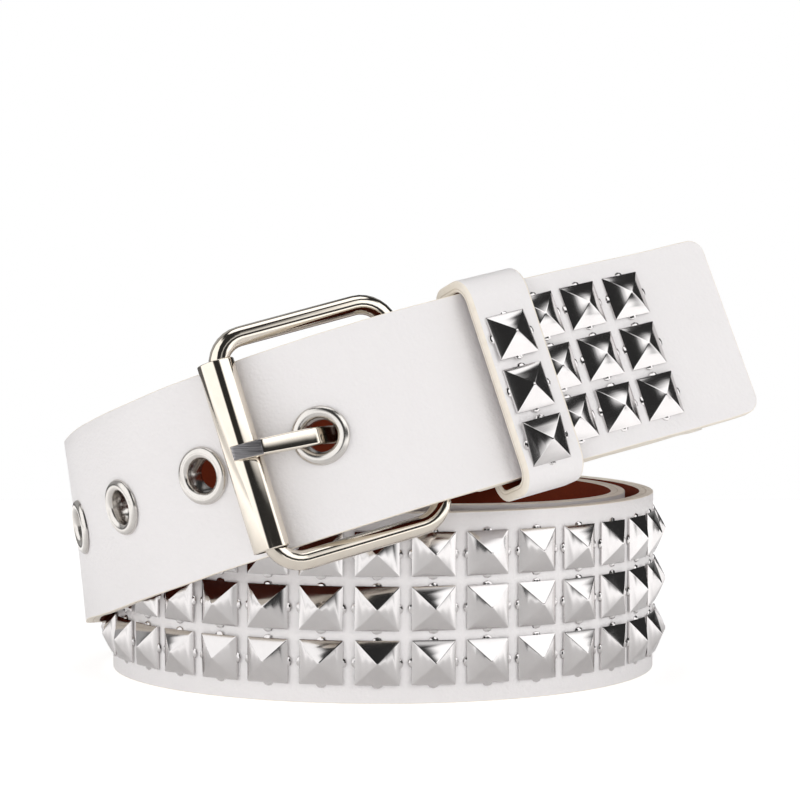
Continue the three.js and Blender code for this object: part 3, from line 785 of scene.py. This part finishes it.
def keeper_loop():
    """Inner outline of the loop, closed at the middle of its back: across and off the face, in mm."""
    w = strap_width / 2 + lay_gap + keeper_drop
    top, low = keeper_stand_off, keeper_stand_off - keeper_depth
    r_face, r_back = 3.0, keeper_corner
    spots = [(x, low) for x in np.linspace(0, w - r_back, 8)[:-1]]
    spots += arc(w - r_back, low + r_back, r_back, -90, 0, 8)
    spots += arc(w - r_face, top - r_face, r_face, 0, 90, 8)
    spots += [(x, top) for x in np.linspace(w - r_face, r_face - w, 16)[1:-1]]
    spots += arc(r_face - w, top - r_face, r_face, 90, 180, 8)
    spots += arc(r_back - w, low + r_back, r_back, 180, 270, 8)
    spots += [(x, low) for x in np.linspace(r_back - w, 0, 8)[1:]]
    return np.array(spots) + [-keeper_drop, 0]


loop = keeper_loop()
loop_length = np.concatenate([[0], np.cumsum(np.linalg.norm(np.diff(loop, axis=0), axis=1))])
print("keeper strip:", round(float(loop_length[-1]), 1), "mm long inside")

clear_selection()
bpy.ops.mesh.primitive_grid_add(x_subdivisions=220, y_subdivisions=8, size=1, location=(0, 0, 0))
keeper = bpy.context.object
keeper.name = "keeper_leather"
bpy.ops.object.mode_set(mode="EDIT")
bpy.ops.mesh.select_all(action="SELECT")
bpy.ops.transform.resize(value=((loop_length[-1] - 0.1) * MM, keeper_width * MM, 1))
bpy.ops.transform.translate(value=(loop_length[-1] * MM / 2, 0, 0))
bpy.ops.object.mode_set(mode="OBJECT")
thicken(keeper, keeper_thickness, 0.6)
flat_points = read_points(keeper.data) / MM
# the keeper's grain is read far from the strap's, so the two don't match
keep_flat_place(keeper.data, flat_points + [3000, 0, 0])
step = np.gradient(loop, loop_length, axis=0)
step /= np.linalg.norm(step, axis=1, keepdims=True)
d = flat_points[:, 0]
spot = np.stack([np.interp(d, loop_length, loop[:, k]) for k in range(2)], axis=1)
way = np.stack([np.interp(d, loop_length, step[:, k]) for k in range(2)], axis=1)
way /= np.linalg.norm(way, axis=1, keepdims=True)
off = np.stack([way[:, 1], -way[:, 0]], axis=1) * (flat_points[:, 2:3] + keeper_thickness)
bent = np.c_[flat_points[:, 1], spot + off, np.ones(len(d))]
bent[:, :3] *= MM
write_points(keeper.data, (bent @ np.array(keeper_seat).T)[:, :3])
outward(keeper)
smooth_by_angle(keeper, 40)
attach(keeper, "belt")
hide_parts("keeper")

keeper_face = keeper_stand_off + keeper_thickness
beside = Matrix.Translation((-keeper_stud_along * MM, 0, 0))
stud_floor = keeper_face - stud_sunk
keeper_places = [seat(keeper_at, stud_floor, w - keeper_stud_down) @ beside for w in row_places]
# from the lowest stud up: the lowest is tipped down, and the others a little up
keeper_studs = stud_field("keeper_studs", flat_stud, keeper_places, nods=(-7.0, 2.0, 5.5))
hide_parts("keeper_stud_1", "keeper_stud_2", "keeper_stud_3")
print("keeper faces:", len(keeper.data.polygons))

# %% [markdown]
# ## Eyelets
# An eyelet is a turned piece: a barrel through the leather, a fat rolled lip on
# the face and a flatter one behind. One profile is drawn and spun round.

# %% Eyelets
def spun(name, profile, steps):
    """Spins a closed profile of (radius, height) in mm round the z axis."""
    clear_selection()
    bpy.ops.mesh.primitive_circle_add(vertices=len(profile), radius=MM)
    obj = bpy.context.object
    obj.name = name
    for v, (r, z) in zip(obj.data.vertices, profile):
        v.co = (r * MM, 0, z * MM)
    bpy.ops.object.mode_set(mode="EDIT")
    bpy.ops.mesh.select_all(action="SELECT")
    bpy.ops.mesh.spin(steps=steps, angle=2 * math.pi, center=(0, 0, 0), axis=(0, 0, 1))
    bpy.ops.mesh.select_all(action="SELECT")
    bpy.ops.mesh.remove_doubles(threshold=1e-7)
    bpy.ops.mesh.normals_make_consistent(inside=False)
    bpy.ops.object.mode_set(mode="OBJECT")
    return obj


bore = 3.1
lip = arc(4.6, 0.02, 1.2, 0, 180, 14, squash=0.85)
funnel = [(3.3, -0.3), (3.16, -0.9), (bore, -1.6)]
back = [(bore, -3.7), (3.5, -4.1), (5.1, -4.15), (5.35, -3.9), (5.35, -3.62),
        (3.6, -3.55), (3.55, -0.1)]
eyelets = []
for i, x in enumerate(hole_places):
    ring = spun(f"eyelet_ring_{i + 1}", lip + funnel + back, 48)
    ring.data.transform(seat(x, 0.0))
    ring.data.materials.append(satin)
    smooth_by_angle(ring, 50)
    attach(ring, "belt")
    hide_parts(f"eyelet_{i + 1}")
    eyelets.append(ring)
print("eyelets:", len(eyelets), "with", len(eyelets[0].data.polygons), "faces each")

# %% [markdown]
# ## Buckle frame and roller
# The frame is one round wire. It could be a curve with thickness, but a circle
# of wire that is extruded along each side and spun round each corner gives
# clean rings of faces and true round corners. The roller is a tube, spun from
# a small profile with softened ends.

# %% Buckle frame
def make_frame():
    corner = 5.8
    y = (frame_inside + wire) / 2
    clear_selection()
    bpy.ops.mesh.primitive_circle_add(vertices=20, radius=wire / 2 * MM, location=(0, 0, 0))
    obj = bpy.context.object
    obj.name = "buckle_wire"
    # the ring of wire starts on the front bar, facing along the bar
    to_front_bar = Matrix.Translation((bar_in_roller * MM, (corner - y) * MM, 0))
    obj.data.transform(to_front_bar @ Matrix.Rotation(math.pi / 2, 4, "X"))
    bpy.ops.object.mode_set(mode="EDIT")
    bpy.ops.mesh.select_all(action="SELECT")
    sides = [((0, 2 * (y - corner), 0), (bar_in_roller + corner, y - corner)),
             ((bar_spacing - 2 * corner, 0, 0), (heel_x - corner, y - corner)),
             ((0, -2 * (y - corner), 0), (heel_x - corner, corner - y)),
             ((-(bar_spacing - 2 * corner), 0, 0), (bar_in_roller + corner, corner - y))]
    for (dx, dy, dz), (cx, cy) in sides:
        bpy.ops.mesh.extrude_region_move(TRANSFORM_OT_translate={"value": (dx * MM, dy * MM, dz * MM)})
        bpy.ops.mesh.spin(steps=8, angle=math.pi / 2, center=(cx * MM, cy * MM, 0), axis=(0, 0, 1))
    bpy.ops.mesh.select_all(action="SELECT")
    bpy.ops.mesh.remove_doubles(threshold=1e-6)
    bpy.ops.mesh.normals_make_consistent(inside=False)
    bpy.ops.object.mode_set(mode="OBJECT")
    obj.data.transform(buckle_place)
    return obj


buckle = make_frame()
buckle.data.materials.append(nickel)
smooth_by_angle(buckle, 60)
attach(buckle, "belt")
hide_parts("buckle_frame")
print("buckle frame faces:", len(buckle.data.polygons))

# %% Roller
half, r_out, r_in, r_end = roller_length / 2, roller_diameter / 2, roller_bore / 2, 0.25
tube = arc(r_out - r_end, half - r_end, r_end, 0, 90, 4)
tube += [(r_in, half), (r_in, -half)]
tube += arc(r_out - r_end, r_end - half, r_end, -90, 0, 4)
roller = spun("roller_tube", tube, 48)
roller.data.transform(buckle_place @ Matrix.Rotation(-math.pi / 2, 4, "X"))
roller.data.materials.append(nickel)
smooth_by_angle(roller, 50)
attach(roller, "roller")
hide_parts("roller")
print("roller faces:", len(roller.data.polygons))

# %% [markdown]
# ## Prong
# The prong is a flat bar, hooped round the heel bar. It bends up through the
# first eyelet and lies over the roller, where its tip is pared down at a slant
# and left a little rough. The bar's side outline is drawn once, extruded to the
# bar's width, and its edges are softened.

# %% Prong
prong_width, prong_thickness, prong_gap, prong_turn = 3.3, 2.2, 0.4, -3.6
prong_tip, prong_climb, hoop_steps, hoop_mouth = -3.3, math.radians(50), 28, 0.24
prong_bore = wire / 2 + prong_gap
hole_p, _, _, hole_out = at(tip_to_eyelet)
hole_world = Vector((hole_p - hole_out * strap_thickness / 2 + coil_middle) * MM)
hole_local = (buckle_place.inverted() @ hole_world) / MM


def prong_outline():
    half_t = prong_thickness / 2
    over_roller = roller_diameter / 2 + prong_gap + half_t
    hoop_out = prong_bore + prong_thickness * 0.8
    way = np.array([-math.cos(prong_climb), math.sin(prong_climb)])
    hole = np.array([hole_local.x, hole_local.z])
    reach = strap_thickness / 2 + half_t
    over_leather = [(prong_tip, over_roller - 0.5), (-0.6, over_roller - 0.1), (2.4, over_roller),
                    (hole[0] - 4.6, over_roller - 0.1)]
    through = [hole + way * reach, hole - way * reach]
    under_leather = [(hole[0] + 6.2 * 0.7, -half_t / 2), (heel_x - hoop_out, 0)]
    line = np.array([*over_leather, *through, *under_leather])
    # the upper face is fullest just behind the tip and falls away toward the hole
    above = np.array([0.5, 1.1, 1.75, 1.0, 1.0, 1.0, 1.0, 1.0]) * half_t
    below = np.array([0.6, 0.85, 1.0, 1.0, 1.0, 1.0, 1.0, 1.0]) * half_t
    # a finer line through the same bends
    t = np.concatenate([[0], np.cumsum(np.linalg.norm(np.diff(line, axis=0), axis=1))])
    s = np.linspace(0, t[-1], 60)
    soft = np.stack([np.interp(s, t, line[:, k]) for k in range(2)], axis=1)
    for _ in range(14):
        soft[1:-1] = (soft[:-2] + 2 * soft[1:-1] + soft[2:]) / 4
    step = np.gradient(soft, axis=0)
    step /= np.linalg.norm(step, axis=1, keepdims=True)
    off = np.stack([-step[:, 1], step[:, 0]], axis=1)
    upper = soft + off * np.interp(s, t, above)[:, None]
    lower = soft - off * np.interp(s, t, below)[:, None]
    turned = 2 * math.pi - 2 * hoop_mouth
    angles = [math.pi - hoop_mouth - turned * i / hoop_steps for i in range(1, hoop_steps)]
    hoop = [(heel_x + hoop_out * math.cos(a), hoop_out * math.sin(a)) for a in angles]
    return np.vstack([upper, hoop, lower[::-1]])


def closed_edges(first, count):
    """Edges that join points first to first + count - 1 in a closed ring."""
    return [(first + i, first + (i + 1) % count) for i in range(count)]


clear_selection()
mesh = bpy.data.meshes.new("prong_bar")
side = -prong_width / 2 * MM
ring = [(x * MM, side, z * MM) for x, z in prong_outline()]
bore_ring = []
for i in range(hoop_steps):
    a = 2 * math.pi * i / hoop_steps
    bore_ring.append((heel_x * MM + prong_bore * MM * math.cos(a), side, prong_bore * MM * math.sin(a)))
edges = closed_edges(0, len(ring)) + closed_edges(len(ring), len(bore_ring))
mesh.from_pydata(ring + bore_ring, edges, [])
prong = bpy.data.objects.new("prong_bar", mesh)
bpy.context.scene.collection.objects.link(prong)
take(prong)
bpy.ops.object.mode_set(mode="EDIT")
bpy.ops.mesh.select_all(action="SELECT")
bpy.ops.mesh.fill(use_beauty=True)
bpy.ops.mesh.select_all(action="SELECT")
bpy.ops.mesh.extrude_region_move(TRANSFORM_OT_translate={"value": (0, prong_width * MM, 0)})
bpy.ops.mesh.select_all(action="SELECT")
bpy.ops.mesh.normals_make_consistent(inside=False)
bpy.ops.object.mode_set(mode="OBJECT")
soft = prong.modifiers.new("soft_edges", "BEVEL")
soft.width = 0.85 * MM
soft.segments = 4
soft.limit_method = "ANGLE"
soft.angle_limit = math.radians(60)
apply_modifiers(prong)
# the bar narrows toward its tip, and the tip's upper face is left ribbed, with painted shade in its colour
points = read_points(prong.data)
narrow = np.interp(points[:, 0] / MM, [prong_tip, 3.0, 9.0], [0.88, 0.98, 1.06])
points[:, 1] *= narrow
write_points(prong.data, points)
prong.data.materials.append(nickel)
prong.data.materials.append(ribbed)
ribbed_end, ribbed_floor = 2.1, 3.6
for tip_face in prong.data.polygons:
    x, _, z = tip_face.center
    if x < ribbed_end * MM and z > ribbed_floor * MM and tip_face.normal.z > 0.6:
        tip_face.material_index = 1
# it is turned a little about the hole that it comes through
to_hole = Matrix.Translation((hole_local.x * MM, hole_local.y * MM, 0))
from_hole = Matrix.Translation((-hole_local.x * MM, 0, 0))
turn = to_hole @ Matrix.Rotation(math.radians(prong_turn), 4, "Z") @ from_hole
prong.data.transform(buckle_place @ turn)
smooth_by_angle(prong, 40)
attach(prong, "belt")
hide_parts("prong")
print("prong faces:", len(prong.data.polygons))

# the patterns that the studs were copied from aren't part of the belt
for stud in (flat_stud, domed_stud):
    bpy.data.objects.remove(stud)

# %% [markdown]
# ## Table
# The belt stands on a white table. A real one would show a grey edge against
# the white background, and its light would have to be tuned for the camera and
# for the metal at once. So the table glows by a different amount for each: for
# the camera enough to melt into the background, for the metal more toward the
# panels than near the belt, and for the leather an even amount.

# %% Table
table_left, table_right, table_front, table_back = -0.34, 0.60, -0.37, 0.42
clear_selection()
bpy.ops.mesh.primitive_plane_add(size=1)
table = bpy.context.object
table.name = "table"
bpy.ops.object.mode_set(mode="EDIT")
bpy.ops.mesh.select_all(action="SELECT")
bpy.ops.transform.resize(value=(table_right - table_left, table_back - table_front, 1))
bpy.ops.transform.translate(value=((table_left + table_right) / 2, (table_front + table_back) / 2, 0))
bpy.ops.object.mode_set(mode="OBJECT")
finish = Finish("white_table")
seen = finish.node("ShaderNodeLightPath", out=0)
place = finish.node("ShaderNodeTexCoord", out=3)
sideways = finish.node("ShaderNodeSeparateXYZ", out=0, Vector=place)
# the metal sees a table that is brighter toward the panels, and duller at its left end
near_panels = finish.ramp(sideways.abs(), 0.07, 0.19) * finish.ramp(sideways, -0.27, -0.2)
for_metal = finish.mix(near_panels, (0.2, 0.2, 0.2, 1), (0.9, 0.9, 0.9, 1))
spread = finish.node("ShaderNodeLightPath", out=2)
for_others = finish.mix(spread, for_metal, (0.45, 0.45, 0.45, 1))
finish.set(Base_Color=(0.66, 0.65, 0.645, 1), Roughness=0.55, Emission_Strength=1.0)
finish.set(Emission_Color=finish.mix(seen, for_others, (0.62, 0.62, 0.62, 1)))
table.data.materials.append(finish.material)
table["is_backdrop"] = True
print("table", round(table_right - table_left, 2), "by", round(table_back - table_front, 2), "m")

# %% [markdown]
# ## Studio
# Chrome shows only what is round it. The facets in the photograph tell where
# the light was: a tall soft panel on each side, black between them behind the
# camera, and black again behind on the right. The right panel comes down to the
# table only at its far end, above a low strip, which gives the roller its black
# stripe. The sky round the scene carries those panels, and weaker ones behind.
# The camera itself sees plain white behind the belt.

# %% Studio sky
world = bpy.data.worlds.new("studio")
bpy.context.scene.world = world
world.use_nodes = True
sky = Finish("studio", world.node_tree)
background = world.node_tree.nodes["Background"]
ray = sky.node("ShaderNodeTexCoord", out=0)
x, y, z = (sky.node("ShaderNodeSeparateXYZ", out=k, Vector=ray) for k in range(3))
azimuth = x.math("ARCTAN2", y * -1.0) * (180 / math.pi)
elevation = z.math("ARCSINE") * (180 / math.pi)


def panel(left, right, low, high, soft, slant):
    """A soft panel between two azimuths and two elevations, in degrees. Azimuth 0 is the camera's side.
    Its inner side slants by slant degrees for each degree of height."""
    inner = sky.ramp(azimuth.abs() - elevation * slant, 0.0, soft)
    sides = sky.ramp(azimuth, left, left + soft) * (1 - sky.ramp(azimuth, right - soft, right))
    ends = sky.ramp(elevation, low, low + soft) * (1 - sky.ramp(elevation, high - soft, high))
    return sides * inner * ends


PANELS = [
    # left, right, low, high, soft, slant, brightness
    (-108, -6, -14, 62, 9, 0.55, 1.35),
    (20, 107, 16, 61, 12, 0.0, 1.6),
    (72, 107, -14, 28, 12, 0.0, 1.6),
    (8, 78, -16, 4, 7, 0.0, 1.5),
    (-178, -106, -4, 60, 12, 0.0, 0.4),
    (150, 180, -4, 48, 12, 0.0, 0.35),
]
glow = sky.node("ShaderNodeValue")
room_level = 0.03
glow.socket.default_value = room_level
for left, right, low, high, soft, slant, brightness in PANELS:
    glow = glow + panel(left, right, low, high, soft, slant) * brightness
# a round overhead light, tipped a little behind the belt
tip_back = math.radians(5)
overhead = z * math.cos(tip_back) + y * math.sin(tip_back)
glow = glow + sky.ramp(overhead, math.cos(math.radians(22)), math.cos(math.radians(17))) * 1.6
# the dim room below the table's edge
glow = glow + (1 - sky.ramp(elevation, -6, 0)) * 0.1
seen = sky.node("ShaderNodeLightPath", out=0)
level = glow * (1 - seen) + seen
world.node_tree.links.new(level.socket, background.inputs["Strength"])
background.inputs["Color"].default_value = (1, 1, 1, 1)
print("studio panels:", len(PANELS))

# %% [markdown]
# The sky's panels alone leave the leather flat, so soft lamps light it. They
# are hidden from the metal, which would show their square outlines.

# %% Lamps
def lamp(name, place, size, power):
    data = bpy.data.lights.new(name, "AREA")
    data.shape = "RECTANGLE"
    data.size, data.size_y = size
    data.energy = power
    obj = bpy.data.objects.new(name, data)
    bpy.context.scene.collection.objects.link(obj)
    obj.location = place
    obj.rotation_euler = (Vector((0, 0, 0.04)) - Vector(place)).to_track_quat("-Z", "Y").to_euler()
    obj.visible_glossy = False
    return obj


lamp("key_light", (1.0, -1.0, 0.8), (0.6, 0.6), 4.0)
lamp("left_light", (-1.0, -0.9, 0.6), (0.8, 0.6), 0.3)
lamp("front_light", (0.0, -1.3, 0.12), (1.0, 0.3), 3.2)
lamp("top_light", (0.0, 0.3, 1.3), (1.2, 1.0), 2.2)
scene = bpy.context.scene
scene.view_settings.view_transform = "Standard"
scene.view_settings.look = "None"
scene.view_settings.exposure = 0.0

low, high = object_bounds()
print("visual size in mm", [round((b - a) / MM, 1) for a, b in zip(low, high)])
